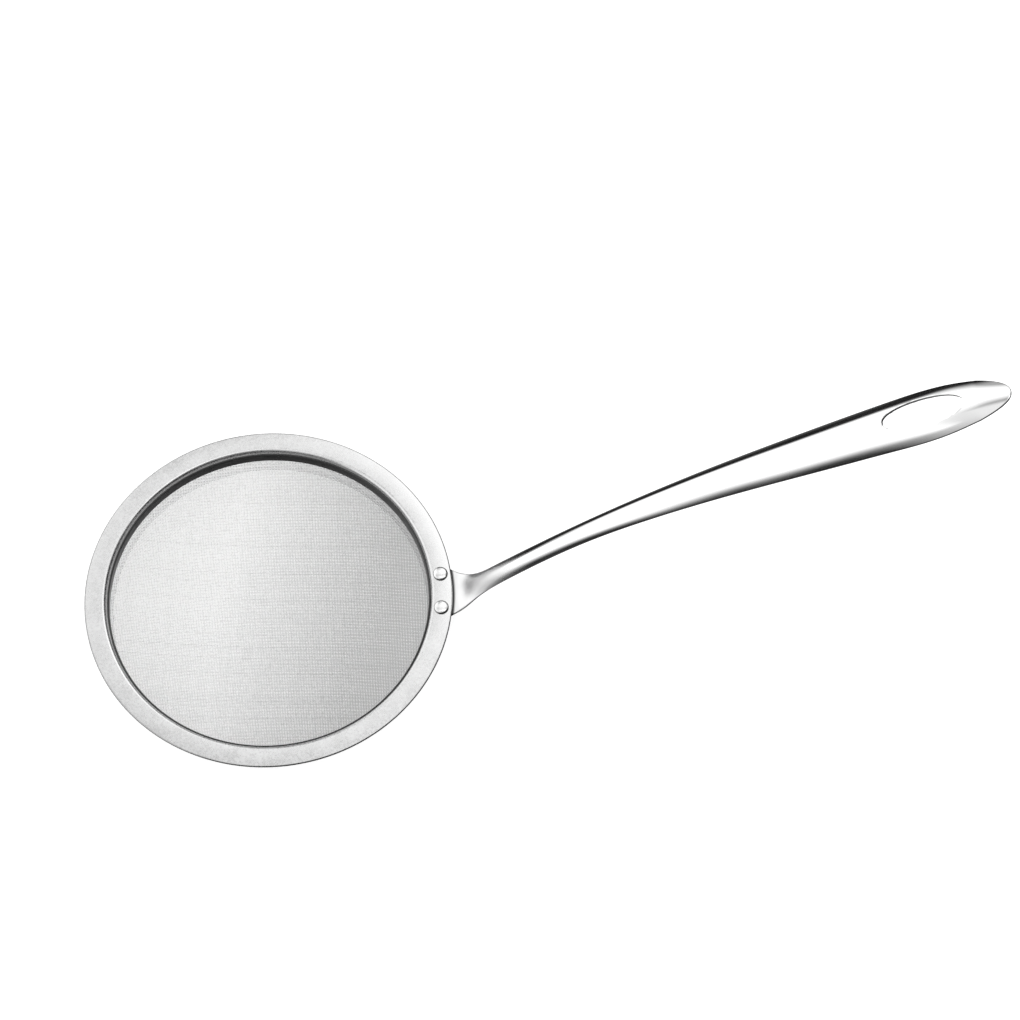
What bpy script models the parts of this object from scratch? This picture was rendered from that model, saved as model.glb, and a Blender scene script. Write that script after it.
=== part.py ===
"""Flat-rimmed tea strainer: rim ring, clamp ring, mesh screen, stamped handle and two rivets.

Units are metres. +X runs from the ring towards the handle tip, +Z is up, and the part is
symmetric about the XZ plane. The foot of the rim ring stands on z = 0.
"""

import math

import bmesh
import bpy
import numpy as np

MM = 0.001

# Driving dimensions, in millimetres.
RIM_OUTER_R = 57.5
RIM_HEIGHT = 11.0
RIM_SHEET = 1.0
RIM_EDGE_ROUND = 0.4
COLLAR_INNER_R = 50.8
COLLAR_FILLET = 1.2
BEAD_DEPTH = 0.8
BEAD_TOP = -5.75
BEAD_BOTTOM = -7.25
FOOT_LIP_INNER_R = 49.6
FOOT_ROUND = 0.3

CLAMP_GAP = 0.1
CLAMP_SHEET = 0.65
CLAMP_TOP = -1.35
CLAMP_BOTTOM = -5.2
CLAMP_LIP_ROUND = 0.3

SCREEN_GAP = 0.08
SCREEN_THICKNESS = 0.4
SCREEN_OUTER_R = 50.6
SCREEN_DISH_R = 50.0
SCREEN_SAG = 4.4
SCREEN_RINGS = 6

HANDLE_SHEET = 1.0
HANDLE_ARCH_POWER = 2.4
HANDLE_STATIONS = 46
HANDLE_TIP_STATIONS = 8
HANDLE_ACROSS = 12
HANDLE_EDGE_BEVEL = 0.18
TAB_START_X = 52.5
TAB_FLAT_END_X = 58.6
HANDLE_TIP_X = 208.2
TIP_START_X = 200.0
TIP_TAPER_POWER = 0.45

# Each row is one section of the handle: distance from the ring centre, height of the section's
# lower edges below or above the flange top, half width, and crown height.
HANDLE_SECTIONS = (
    (58.6, -1.06, 7.1, 0.0),
    (61.5, 0.2, 5.7, 0.5),
    (65.0, 3.1, 4.5, 1.9),
    (70.0, 8.6, 3.85, 3.3),
    (76.0, 15.6, 3.7, 3.7),
    (85.0, 25.9, 3.65, 3.8),
    (98.0, 39.7, 3.85, 3.9),
    (114.0, 54.5, 4.6, 4.1),
    (132.0, 69.2, 5.65, 4.2),
    (150.0, 82.4, 6.7, 4.2),
    (166.0, 93.6, 7.6, 4.35),
    (178.0, 101.9, 8.15, 4.1),
    (187.0, 108.0, 8.35, 3.5),
    (194.0, 112.8, 7.75, 2.7),
    (200.0, 116.8, 6.5, 1.8),
    (208.2, 121.8, 0.0, 0.0),
)
TAB_SECTIONS = (
    (52.5, 9.4),
    (54.0, 9.5),
    (56.0, 8.6),
    (58.6, 7.1),
)

HOLE_CENTRE_X = 187.4
HOLE_LENGTH = 23.5
HOLE_WIDTH = 8.6
HOLE_SEGMENTS = 40

RIVET_X = 53.8
RIVET_Y = 5.8
RIVET_HEAD_R = 2.3
RIVET_HEAD_HEIGHT = 0.9
RIVET_TAIL_R = 2.0
RIVET_TAIL_HEIGHT = 0.7
RIVET_SHANK_R = 1.4
RIVET_HOLE_R = 1.6
RIVET_GAP = 0.06
RIVET_SEGMENTS = 24

TURNED_SEGMENTS = 72
RING_CENTRE_X = -75.56
SMOOTH_ANGLE = math.radians(32)

STEEL_SATIN = ("satin_steel", (0.74, 0.74, 0.73, 1.0), 0.32)
STEEL_DARK = ("clamp_steel", (0.34, 0.34, 0.34, 1.0), 0.28)
STEEL_WIRE = ("wire_steel", (0.62, 0.62, 0.61, 1.0), 0.36)
STEEL_POLISHED = ("polished_steel", (0.80, 0.80, 0.79, 1.0), 0.12)
STEEL_RIVET = ("rivet_steel", (0.78, 0.78, 0.77, 1.0), 0.2)


def clear_scene():
    for obj in list(bpy.data.objects):
        bpy.data.objects.remove(obj, do_unlink=True)


def new_collection(name):
    collection = bpy.data.collections.new(name)
    bpy.context.scene.collection.children.link(collection)
    return collection


def metal(name, colour, roughness):
    material = bpy.data.materials.new(name)
    material.use_nodes = True
    shader = material.node_tree.nodes["Principled BSDF"]
    shader.inputs["Base Color"].default_value = colour
    shader.inputs["Metallic"].default_value = 1.0
    shader.inputs["Roughness"].default_value = roughness
    material.diffuse_color = colour
    return material


def add_object(name, mesh, collection, finish=None):
    obj = bpy.data.objects.new(name, mesh)
    collection.objects.link(obj)
    if finish is not None:
        mesh.materials.append(metal(name + "_" + finish[0], finish[1], finish[2]))
    return obj


def arc(centre_r, centre_z, radius, start_deg, end_deg, steps):
    """Points on a circular arc in the (r, z) plane, both ends included."""
    points = []
    for i in range(steps + 1):
        angle = math.radians(start_deg + (end_deg - start_deg) * i / steps)
        r = centre_r + radius * math.cos(angle)
        z = centre_z + radius * math.sin(angle)
        points.append((r, z))
    return points


def turned(name, profile, closed, origin, collection, finish, segments):
    """Turn a profile of (r, z) points, in millimetres, about the vertical axis at origin."""
    mesh = bpy.data.meshes.new(name)
    vertices = [(r * MM, 0.0, z * MM) for r, z in profile]
    edges = [(i, i + 1) for i in range(len(profile) - 1)]
    if closed:
        edges.append((len(profile) - 1, 0))
    mesh.from_pydata(vertices, edges, [])
    obj = add_object(name, mesh, collection, finish)
    obj.location = origin
    screw = obj.modifiers.new("turn", "SCREW")
    screw.axis = "Z"
    screw.steps = segments
    screw.render_steps = segments
    screw.use_merge_vertices = True
    screw.merge_threshold = 0.00001
    return obj


def ring_origin():
    return (RING_CENTRE_X * MM, 0.0, RIM_HEIGHT * MM)


def build_rim_ring(collection):
    """Flange, fillet, collar with a pressed bead, and the foot turned in at the bottom."""
    outer = COLLAR_INNER_R + RIM_SHEET
    edge = RIM_EDGE_ROUND
    fillet_r = COLLAR_INNER_R + COLLAR_FILLET
    bead_r = COLLAR_INNER_R - BEAD_DEPTH
    bead_mid = (BEAD_TOP + BEAD_BOTTOM) / 2
    foot = -RIM_HEIGHT
    lip_top = foot + RIM_SHEET
    profile = arc(RIM_OUTER_R - edge, -edge, edge, 90, 0, 3)
    profile += arc(RIM_OUTER_R - edge, -RIM_SHEET + edge, edge, 0, -90, 3)
    profile += [(outer + FOOT_ROUND, -RIM_SHEET), (outer, -RIM_SHEET - FOOT_ROUND)]
    profile += [(outer, BEAD_TOP + 0.35), (outer - BEAD_DEPTH, bead_mid + 0.25)]
    profile += [(outer - BEAD_DEPTH, bead_mid - 0.25), (outer, BEAD_BOTTOM - 0.35)]
    profile += [(outer, foot + FOOT_ROUND), (outer - FOOT_ROUND, foot)]
    profile += [(FOOT_LIP_INNER_R + FOOT_ROUND, foot), (FOOT_LIP_INNER_R, foot + FOOT_ROUND)]
    profile += [(FOOT_LIP_INNER_R, lip_top - FOOT_ROUND), (FOOT_LIP_INNER_R + FOOT_ROUND, lip_top)]
    profile += [(COLLAR_INNER_R - FOOT_ROUND, lip_top), (COLLAR_INNER_R, lip_top + FOOT_ROUND)]
    profile += [(COLLAR_INNER_R, BEAD_BOTTOM), (bead_r, BEAD_BOTTOM + 0.5)]
    profile += [(bead_r, BEAD_TOP - 0.15), (bead_r + 0.15, BEAD_TOP), (COLLAR_INNER_R, BEAD_TOP)]
    profile += arc(fillet_r, -COLLAR_FILLET, COLLAR_FILLET, 180, 90, 6)
    return turned(
        "rim_ring", profile, True, ring_origin(), collection, STEEL_SATIN, TURNED_SEGMENTS
    )


def build_clamp_ring(collection):
    """Plain band pressed inside the collar, with a rounded top lip."""
    outer = COLLAR_INNER_R - CLAMP_GAP
    inner = outer - CLAMP_SHEET
    lip = CLAMP_LIP_ROUND
    profile = arc(outer - lip, CLAMP_TOP - lip, lip, 90, 0, 2)
    profile += [(outer, CLAMP_BOTTOM), (inner, CLAMP_BOTTOM)]
    profile += arc(inner + lip, CLAMP_TOP - lip, lip, 180, 90, 3)
    return turned(
        "clamp_ring", profile, True, ring_origin(), collection, STEEL_DARK, TURNED_SEGMENTS
    )


def screen_height(radius):
    """Height of the screen's top face: flat under the clamp ring, dished inside it."""
    edge = CLAMP_BOTTOM - SCREEN_GAP
    if radius >= SCREEN_DISH_R:
        return edge
    return edge - SCREEN_SAG * (1.0 - (radius / SCREEN_DISH_R) ** 2)


def build_mesh_screen(collection):
    """Thin dished disc with the outline of the wire cloth."""
    radii = [SCREEN_DISH_R * i / SCREEN_RINGS for i in range(SCREEN_RINGS + 1)]
    radii.append(SCREEN_OUTER_R)
    top = [(r, screen_height(r)) for r in radii]
    bottom = [(r, z - SCREEN_THICKNESS) for r, z in reversed(top)]
    return turned(
        "mesh_screen", top + bottom, False, ring_origin(), collection, STEEL_WIRE, TURNED_SEGMENTS
    )


def spline(xs, ys):
    """Natural cubic spline through the points, as a function of x."""
    xs = np.array(xs, dtype=float)
    ys = np.array(ys, dtype=float)
    count = len(xs)
    gap = np.diff(xs)
    system = np.eye(count)
    target = np.zeros(count)
    for i in range(1, count - 1):
        system[i, i - 1] = gap[i - 1]
        system[i, i] = 2.0 * (gap[i - 1] + gap[i])
        system[i, i + 1] = gap[i]
        rise = (ys[i + 1] - ys[i]) / gap[i] - (ys[i] - ys[i - 1]) / gap[i - 1]
        target[i] = 6.0 * rise
    bend = np.linalg.solve(system, target)

    def value(x):
        i = int(np.clip(np.searchsorted(xs, x) - 1, 0, count - 2))
        a = (xs[i + 1] - x) / gap[i]
        b = (x - xs[i]) / gap[i]
        cubic = (a**3 - a) * bend[i] + (b**3 - b) * bend[i + 1]
        return float(a * ys[i] + b * ys[i + 1] + cubic * gap[i] ** 2 / 6.0)

    return value


def handle_curves():
    """Spine height, half width and crown height as functions of distance from the ring centre."""
    rows = HANDLE_SECTIONS
    spine_x = [TAB_START_X, 56.0] + [row[0] for row in rows]
    spine_z = [rows[0][1], rows[0][1]] + [row[1] for row in rows]
    spine = spline(spine_x, spine_z)
    wide = [row for row in TAB_SECTIONS] + [(row[0], row[2]) for row in rows[1:-1]]
    width = spline([row[0] for row in wide], [row[1] for row in wide])
    crown_x = [TAB_START_X] + [row[0] for row in rows]
    crown_h = [0.0] + [row[3] for row in rows]
    crown = spline(crown_x, crown_h)
    tip_width = rows[-2][2]
    tip_run = HANDLE_TIP_X - TIP_START_X

    def height(x):
        if x <= TAB_FLAT_END_X:
            return rows[0][1]
        return spine(x)

    def half_width(x):
        if x <= TIP_START_X:
            return width(x)
        left = (HANDLE_TIP_X - x) / tip_run
        return tip_width * left**TIP_TAPER_POWER

    def arch(x):
        if x <= TAB_FLAT_END_X:
            return 0.0
        return max(0.0, crown(x))

    return height, half_width, arch


def station_positions():
    """Distances of the handle's sections, closer together at the bend and at the tip."""
    body = []
    for i in range(HANDLE_STATIONS):
        t = i / (HANDLE_STATIONS - 1)
        body.append(TAB_START_X + (TIP_START_X - TAB_START_X) * (0.55 * t + 0.45 * t * t))
    tip = []
    for i in range(1, HANDLE_TIP_STATIONS + 1):
        left = (1.0 - i / HANDLE_TIP_STATIONS) ** 2
        tip.append(HANDLE_TIP_X - (HANDLE_TIP_X - TIP_START_X) * left)
    return body, tip


def build_handle(collection, cutters):
    """One stamped sheet: flat tab, channel neck, arched grip and rounded tip."""
    height, half_width, arch = handle_curves()
    body, tip = station_positions()
    stations = body + tip
    step = 0.01
    bm = bmesh.new()
    rows = []
    for x in stations:
        low = max(TAB_START_X, x - step)
        high = min(HANDLE_TIP_X, x + step)
        slope = math.atan2(height(high) - height(low), high - low)
        if x >= HANDLE_TIP_X:
            point = (HANDLE_TIP_X * MM, 0.0, height(HANDLE_TIP_X) * MM)
            rows.append([bm.verts.new(point)])
            continue
        half = half_width(x)
        rise = arch(x)
        row = []
        for j in range(HANDLE_ACROSS + 1):
            side = math.sin(math.pi * (j / HANDLE_ACROSS - 0.5))
            up = rise * (1.0 - abs(side) ** HANDLE_ARCH_POWER)
            px = x - up * math.sin(slope)
            pz = height(x) + up * math.cos(slope)
            row.append(bm.verts.new((px * MM, side * half * MM, pz * MM)))
        rows.append(row)
    for near, far in zip(rows, rows[1:]):
        for j in range(HANDLE_ACROSS):
            if len(far) == 1:
                bm.faces.new((near[j], far[0], near[j + 1]))
            else:
                bm.faces.new((near[j], far[j], far[j + 1], near[j + 1]))
    bm.normal_update()
    mesh = bpy.data.meshes.new("handle")
    bm.to_mesh(mesh)
    bm.free()
    obj = add_object("handle", mesh, collection, STEEL_POLISHED)
    obj.location = ring_origin()
    shell = obj.modifiers.new("sheet", "SOLIDIFY")
    shell.thickness = HANDLE_SHEET * MM
    shell.offset = -1.0
    shell.use_even_offset = True
    cut(obj, hanging_hole_cutter(cutters, height), "hanging_hole")
    for side, label in ((-1, "front"), (1, "rear")):
        cut(obj, rivet_cutter(cutters, side, "tab_" + label, "handle"), "rivet_" + label)
    bevel = obj.modifiers.new("edge", "BEVEL")
    bevel.width = HANDLE_EDGE_BEVEL * MM
    bevel.segments = 1
    bevel.limit_method = "ANGLE"
    bevel.angle_limit = math.radians(55)
    bevel.use_clamp_overlap = True
    return obj


def cutter_object(name, bm, cutters):
    mesh = bpy.data.meshes.new(name)
    bmesh.ops.recalc_face_normals(bm, faces=bm.faces)
    bm.to_mesh(mesh)
    bm.free()
    obj = add_object(name, mesh, cutters)
    obj.hide_render = True
    obj.display_type = "WIRE"
    return obj


def prism(length, width, depth, segments):
    bm = bmesh.new()
    bmesh.ops.create_cone(
        bm, cap_ends=True, segments=segments, radius1=0.5, radius2=0.5, depth=depth * MM
    )
    bmesh.ops.scale(bm, vec=(length * MM, width * MM, 1.0), verts=bm.verts)
    return bm


def hanging_hole_cutter(cutters, height):
    run = 1.0
    rise = height(HOLE_CENTRE_X + run) - height(HOLE_CENTRE_X - run)
    slope = math.atan2(rise, 2.0 * run)
    bm = prism(HOLE_LENGTH, HOLE_WIDTH, 16.0, HOLE_SEGMENTS)
    obj = cutter_object("hanging_hole_cutter", bm, cutters)
    obj.rotation_euler = (0.0, -slope, 0.0)
    x = (RING_CENTRE_X + HOLE_CENTRE_X) * MM
    z = (RIM_HEIGHT + height(HOLE_CENTRE_X)) * MM
    obj.location = (x, 0.0, z)
    return obj


def rivet_cutter(cutters, side, label, target):
    bm = prism(2 * RIVET_HOLE_R, 2 * RIVET_HOLE_R, 6.0, RIVET_SEGMENTS)
    obj = cutter_object(target + "_" + label + "_cutter", bm, cutters)
    x = (RING_CENTRE_X + RIVET_X) * MM
    obj.location = (x, side * RIVET_Y * MM, (RIM_HEIGHT - RIM_SHEET) * MM)
    return obj


def cut(obj, cutter, name):
    boolean = obj.modifiers.new(name, "BOOLEAN")
    boolean.operation = "DIFFERENCE"
    boolean.solver = "EXACT"
    boolean.object = cutter


def build_rivet(name, side, collection):
    """Domed head over the flange, shank through both sheets and a clinched tail."""
    tab_bottom = HANDLE_SECTIONS[0][1] - HANDLE_SHEET
    head_z = RIVET_GAP
    tail_z = tab_bottom - RIVET_GAP
    top = head_z + RIVET_HEAD_HEIGHT
    bottom = tail_z - RIVET_TAIL_HEIGHT
    profile = [(0.0, top), (0.9, top - 0.05), (1.55, top - 0.2), (2.0, top - 0.45)]
    profile += [(RIVET_HEAD_R, top - 0.8), (RIVET_HEAD_R, head_z)]
    profile += [(RIVET_SHANK_R, head_z), (RIVET_SHANK_R, tail_z), (RIVET_TAIL_R, tail_z)]
    profile += [(RIVET_TAIL_R, tail_z - 0.3), (1.5, bottom), (0.0, bottom)]
    x = (RING_CENTRE_X + RIVET_X) * MM
    origin = (x, side * RIVET_Y * MM, RIM_HEIGHT * MM)
    return turned(name, profile, False, origin, collection, STEEL_RIVET, RIVET_SEGMENTS)


def smooth(obj):
    """Shade smooth, with edges sharper than the limit kept crisp."""
    for polygon in obj.data.polygons:
        polygon.use_smooth = True
    obj.data.set_sharp_from_angle(angle=SMOOTH_ANGLE)


def main():
    clear_scene()
    parts = new_collection("tea_strainer")
    cutters = new_collection("cutters")
    rim = build_rim_ring(parts)
    for side, label in ((-1, "front"), (1, "rear")):
        cut(rim, rivet_cutter(cutters, side, label, "rim"), "rivet_" + label)
    build_clamp_ring(parts)
    build_mesh_screen(parts)
    smooth(build_handle(parts, cutters))
    build_rivet("rivet_front", -1, parts)
    build_rivet("rivet_rear", 1, parts)
    bpy.context.view_layer.update()


main()
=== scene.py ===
"""Tea strainer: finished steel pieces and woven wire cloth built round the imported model."""

import math
import random

import bmesh
import bpy
import numpy as np
from mathutils import Matrix, Vector


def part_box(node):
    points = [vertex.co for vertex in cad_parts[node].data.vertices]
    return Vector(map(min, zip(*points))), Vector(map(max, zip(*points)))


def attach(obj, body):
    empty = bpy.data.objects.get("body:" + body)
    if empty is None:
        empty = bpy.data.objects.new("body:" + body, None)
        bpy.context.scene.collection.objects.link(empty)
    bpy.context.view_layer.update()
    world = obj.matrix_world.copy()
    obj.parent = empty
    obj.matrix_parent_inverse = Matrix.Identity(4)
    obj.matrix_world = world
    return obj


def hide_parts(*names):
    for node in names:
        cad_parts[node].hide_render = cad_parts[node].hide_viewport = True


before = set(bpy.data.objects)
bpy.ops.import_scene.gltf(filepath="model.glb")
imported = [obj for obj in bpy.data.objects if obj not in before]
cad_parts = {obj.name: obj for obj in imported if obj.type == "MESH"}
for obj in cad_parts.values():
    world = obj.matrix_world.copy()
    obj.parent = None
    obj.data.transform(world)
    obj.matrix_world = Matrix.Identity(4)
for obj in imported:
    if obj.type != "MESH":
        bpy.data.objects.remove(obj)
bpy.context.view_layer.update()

MM = 0.001

# Sizes in millimetres, heights measured from the flange top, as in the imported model.
RIM_HEIGHT = 11.0
RIM_OUTER_R = 57.5
RIM_SHEET = 1.0
RIM_EDGE_ROUND = 0.45
COLLAR_INNER_R = 50.8
COLLAR_FILLET = 1.2
BEAD_DEPTH = 0.8
BEAD_TOP = -5.75
BEAD_BOTTOM = -7.25
BEAD_STEPS = 8
GROOVE_HALF_HEIGHT = 1.1
FOOT_LIP_INNER_R = 49.6
FOOT_ROUND = 0.3

CLAMP_GAP = 0.1
CLAMP_SHEET = 0.65
CLAMP_TOP = -1.35
CLAMP_BOTTOM = -5.2
CLAMP_BEVEL = 0.12

CLOTH_EDGE_HEIGHT = -5.28
CLOTH_THICKNESS = 0.4
CLOTH_DISH_R = 50.0
CLOTH_CUT_R = 50.5
CLOTH_SAG = 4.4
WIRE_PITCH = 0.5
WIRE_HALF_WIDTH = 0.14
WIRE_HALF_HEIGHT = 0.07
WIRE_WAVE = 0.078
WIRE_SIDES = 4
CLOTH_EDGE_MARGIN = 0.3
CROSSING_MARGIN = 0.12
WEFT_TURN = math.radians(-2.5)
WEFT_WANDER = 0.035
WARP_WANDER = 0.018
WANDER_SINGLE = 0.35
WANDER_WAVE = 0.6
WANDER_WAVES = (3, 7, 17)

HANDLE_SHEET = 1.0
HANDLE_EDGE = 0.4
HANDLE_ARCH_POWER = 2.4
HANDLE_STATIONS = 190
HANDLE_TIP_STATIONS = 34
HANDLE_ACROSS = 40
HANDLE_EDGE_STEPS = 6
HANDLE_TIP_END = 0.02
SLOPE_STEP = 0.01
TAB_START_X = 52.5
TAB_MIDDLE_X = 56.0
TAB_FLAT_END_X = 58.6
HANDLE_TIP_X = 208.2
TIP_START_X = 200.0
TIP_TAPER_POWER = 0.45

# Handle sections: distance from the ring centre, height, half width, crown height.
HANDLE_SECTIONS = (
    (58.6, -1.06, 7.1, 0.0),
    (61.5, 0.2, 5.7, 0.5),
    (65.0, 3.1, 4.5, 1.9),
    (70.0, 8.6, 3.85, 3.3),
    (76.0, 15.6, 3.7, 3.7),
    (85.0, 25.9, 3.65, 3.8),
    (98.0, 39.7, 3.85, 3.9),
    (114.0, 54.5, 4.6, 4.1),
    (132.0, 69.2, 5.65, 4.2),
    (150.0, 82.4, 6.7, 4.2),
    (166.0, 93.6, 7.6, 4.35),
    (178.0, 101.9, 8.15, 4.1),
    (187.0, 108.0, 8.35, 3.5),
    (194.0, 112.8, 7.75, 2.7),
    (200.0, 116.8, 6.5, 1.8),
    (208.2, 121.8, 0.0, 0.0),
)
TAB_SECTIONS = ((52.5, 9.4), (54.0, 9.5), (56.0, 8.6), (58.6, 7.1))

HOLE_CENTRE_X = 187.4
HOLE_LENGTH = 23.5
HOLE_WIDTH = 8.6
HOLE_EDGE = 0.22
HOLE_EDGE_REACH = 0.5
HOLE_CUT_REACH = 8.0
HOLE_SEGMENTS = 120

RIVET_X = 53.8
RIVET_Y = 5.8
RIVET_HEAD_R = 2.3
RIVET_HEAD_HEIGHT = 0.9
RIVET_HEAD_FOOT = 0.12
RIVET_HEAD_STEPS = 10
RIVET_FULLNESS = 0.7
RIVET_TAIL_R = 2.0
RIVET_TAIL_HEIGHT = 0.7
RIVET_TAIL_STRAIGHT = 0.25
RIVET_TAIL_ROUND = 0.15
RIVET_SHANK_R = 1.4
RIVET_HOLE_R = 1.6
RIVET_HOLE_SEGMENTS = 48
RIVET_CUT_REACH = 3.0
RIVET_GAP = 0.06

TURNED_SEGMENTS = 288
RIVET_SEGMENTS = 64
SMOOTH_ANGLE = math.radians(40)

# Greys of the wire, light to dark, and how a painted shade grows across the cloth towards the handle
# (grey a millimetre).
WIRE_GREYS = (0.92, 0.835, 0.75, 0.665, 0.58, 0.495)
UNSHADED_GREY = 0.90
PAINTED_SHADE_START_X = -18.0
PAINTED_SHADE_ALONG = 0.0074
PAINTED_SHADE_ACROSS = 0.0018

# Steps along WIRE_GREYS: change from length to length, from wire to wire, and of a dark weft.
LENGTH_TONE = 0.6
WIRE_TONE = (-0.2, 0.3)
DARK_WEFT_TONE = 0.8

# Places of the darker weft threads across the cloth.
DARK_WEFTS = (35.5, 30.0, 21.0, 11.5, 2.5, -4.0, -14.0, -18.0, -23.5, -33.0, -39.0)

# Painted shade, in millimetres: ring fillet, flange edge, seam beside the tab, foot of a rivet head.
FILLET_SHADE = (50.5, 51.2)
EDGE_SHADE = (57.0, 57.4)
SEAM_SHADE = (RIM_OUTER_R + 0.4, RIM_OUTER_R + 1.0)
RIVET_FOOT_SHADE = (0.84 * RIVET_HEAD_R, RIVET_HEAD_R)
RIVET_SHADE_SHIFT = 0.12
# Painted highlight on the clamp ring's rolled lip: its depth below the lip's top and its fade, in
# millimetres.
CLAMP_LIP_HIGHLIGHT = 0.45
CLAMP_LIP_HIGHLIGHT_FADE = 0.3

# The handle is satin by the ring, and turns mirror bright between these distances from its axis.
SATIN_TAB = (64.0, 84.0)
SATIN_TAB_ROUGHNESS = 0.30

# Camera, relative to the centre of the flange top.
CAMERA_OFFSET = (0.03983, -0.31823, 0.68787)
CAMERA_AZIMUTH = -96.07
CAMERA_ELEVATION = 63.16
CAMERA_ROLL = 4.33
CAMERA_LENS = 85.0

# Studio light levels.
FLOOR_GREY = 0.82
FLOOR_GLOW = 0.62
BOWL_GLOW = 1.0
ROOM_LIGHT = 0.9
CARD_LIGHT = 1.2
TABLE_LIGHT = 0.14
SKY_LEFT = 0.72
SKY_RIGHT = 1.55
DARK_LIGHT = 0.012

# Edges of the light card, as turns about the upright axis, from the left towards the back.
CARD_NEAR_EDGE = (math.radians(-60), math.radians(-50))
CARD_NEAR_LEAN = 0.30
CARD_FAR_EDGE = (math.radians(64), math.radians(82))
CARD_FOOT_TURN = (math.radians(6), math.radians(26))

# Fades by height on the unit sphere of directions, and the lean of the card's top.
CARD_FOOT = (-0.33, -0.02)
CARD_FOOT_FADE = (-0.11, 0.13)
CARD_TOP_FADE = (0.70, 0.95)
CARD_TOP_LEAN = 0.15
SKY_FADE = (0.10, 0.85)
TABLE_FADE = (-0.45, -0.80)

# Sky: starts higher on the right, brightens to the right, dims in a band and by the camera.
SKY_RISE_X = (0.45, 0.80)
SKY_RISE = 0.45
SKY_ACROSS_X = (-0.34, 0.14)
BAND_Y = 0.22
BAND_FADE = (0.08, 0.26)
BAND_LIGHT = (0.52, 1.25)
CAMERA_SIDE_Y = (-0.50, -0.05)
CAMERA_SIDE_X = (-0.25, 0.0)
CAMERA_SIDE_DARK = 0.85
FLAG_DIRECTION = (-0.26, 0.66, 0.70)
FLAG_FADE = (0.90, 0.995)
FLAG_LIGHT = 0.45

rim_low, rim_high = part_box("rim_ring")
RING_CENTRE = Vector(((rim_low.x + rim_high.x) / 2, (rim_low.y + rim_high.y) / 2, rim_high.z))


# ---------------------------------------------------------------- mesh helpers


def mesh_object(name, points, faces):
    """An object from points in millimetres about the centre of the flange top."""
    mesh = bpy.data.meshes.new(name)
    points = np.asarray(points, dtype=float) * MM + np.array(RING_CENTRE)
    mesh.from_pydata(points.tolist(), [], faces)
    mesh.update()
    obj = bpy.data.objects.new(name, mesh)
    bpy.context.scene.collection.objects.link(obj)
    return obj


def shade(obj):
    """Shade smooth, with sharp edges kept."""
    obj.data.polygons.foreach_set("use_smooth", [True] * len(obj.data.polygons))
    obj.data.set_sharp_from_angle(angle=SMOOTH_ANGLE)


def face_outwards(obj):
    bm = bmesh.new()
    bm.from_mesh(obj.data)
    bmesh.ops.recalc_face_normals(bm, faces=bm.faces)
    bm.to_mesh(obj.data)
    bm.free()


def arc(centre_r, centre_z, radius, start_deg, end_deg, steps):
    """Points of (r, z) along an arc."""
    points = []
    for i in range(steps + 1):
        angle = math.radians(start_deg + (end_deg - start_deg) * i / steps)
        points.append((centre_r + radius * math.cos(angle), centre_z + radius * math.sin(angle)))
    return points


def turned(name, profile, closed, centre, segments):
    """Turn a profile of (r, z) about the upright axis through centre."""
    profile = np.array(profile)
    count = len(profile)
    angles = np.arange(segments) * 2 * math.pi / segments
    first = 0 if closed else 1
    last = count if closed else count - 1
    body = profile[first:last]
    rings = np.stack(
        [
            centre[0] + np.outer(np.cos(angles), body[:, 0]),
            centre[1] + np.outer(np.sin(angles), body[:, 0]),
            centre[2] + np.tile(body[:, 1], (segments, 1)),
        ],
        axis=-1,
    ).reshape(-1, 3)
    width = len(body)
    faces = []
    for i in range(segments):
        j = (i + 1) % segments
        for k in range(width if closed else width - 1):
            m = (k + 1) % width
            faces.append((i * width + k, j * width + k, j * width + m, i * width + m))
    points = rings.tolist()
    if not closed:
        top, bottom = len(points), len(points) + 1
        points.append((centre[0], centre[1], centre[2] + profile[0][1]))
        points.append((centre[0], centre[1], centre[2] + profile[-1][1]))
        for i in range(segments):
            j = (i + 1) % segments
            faces.append((top, j * width, i * width))
            faces.append((bottom, i * width + width - 1, j * width + width - 1))
    obj = mesh_object(name, points, faces)
    face_outwards(obj)
    return obj


def drill(obj, cutters):
    """Cut the holes and keep the result as the object's own mesh."""
    for cutter in cutters:
        face_outwards(cutter)
        boolean = obj.modifiers.new("hole", "BOOLEAN")
        boolean.operation = "DIFFERENCE"
        boolean.solver = "EXACT"
        boolean.object = cutter
    graph = bpy.context.evaluated_depsgraph_get()
    drilled = bpy.data.meshes.new_from_object(obj.evaluated_get(graph))
    obj.modifiers.clear()
    obj.data = drilled
    for cutter in cutters:
        bpy.data.objects.remove(cutter, do_unlink=True)


def elliptic_prism(length, width, low, high, centre, slope, segments):
    """A closed elliptic prism whose axis leans by slope away from upright."""
    points = []
    along = np.array((math.cos(slope), 0.0, math.sin(slope)))
    across = np.array((0.0, 1.0, 0.0))
    up = np.array((-math.sin(slope), 0.0, math.cos(slope)))
    for height in (low, high):
        for i in range(segments):
            angle = 2 * math.pi * i / segments
            offset = along * (length / 2 * math.cos(angle)) + across * (width / 2 * math.sin(angle))
            points.append(np.array(centre) + offset + up * height)
    faces = [tuple(range(segments)), tuple(range(2 * segments - 1, segments - 1, -1))]
    for i in range(segments):
        j = (i + 1) % segments
        faces.append((i, j, segments + j, segments + i))
    return mesh_object("cutter", points, faces)


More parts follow.
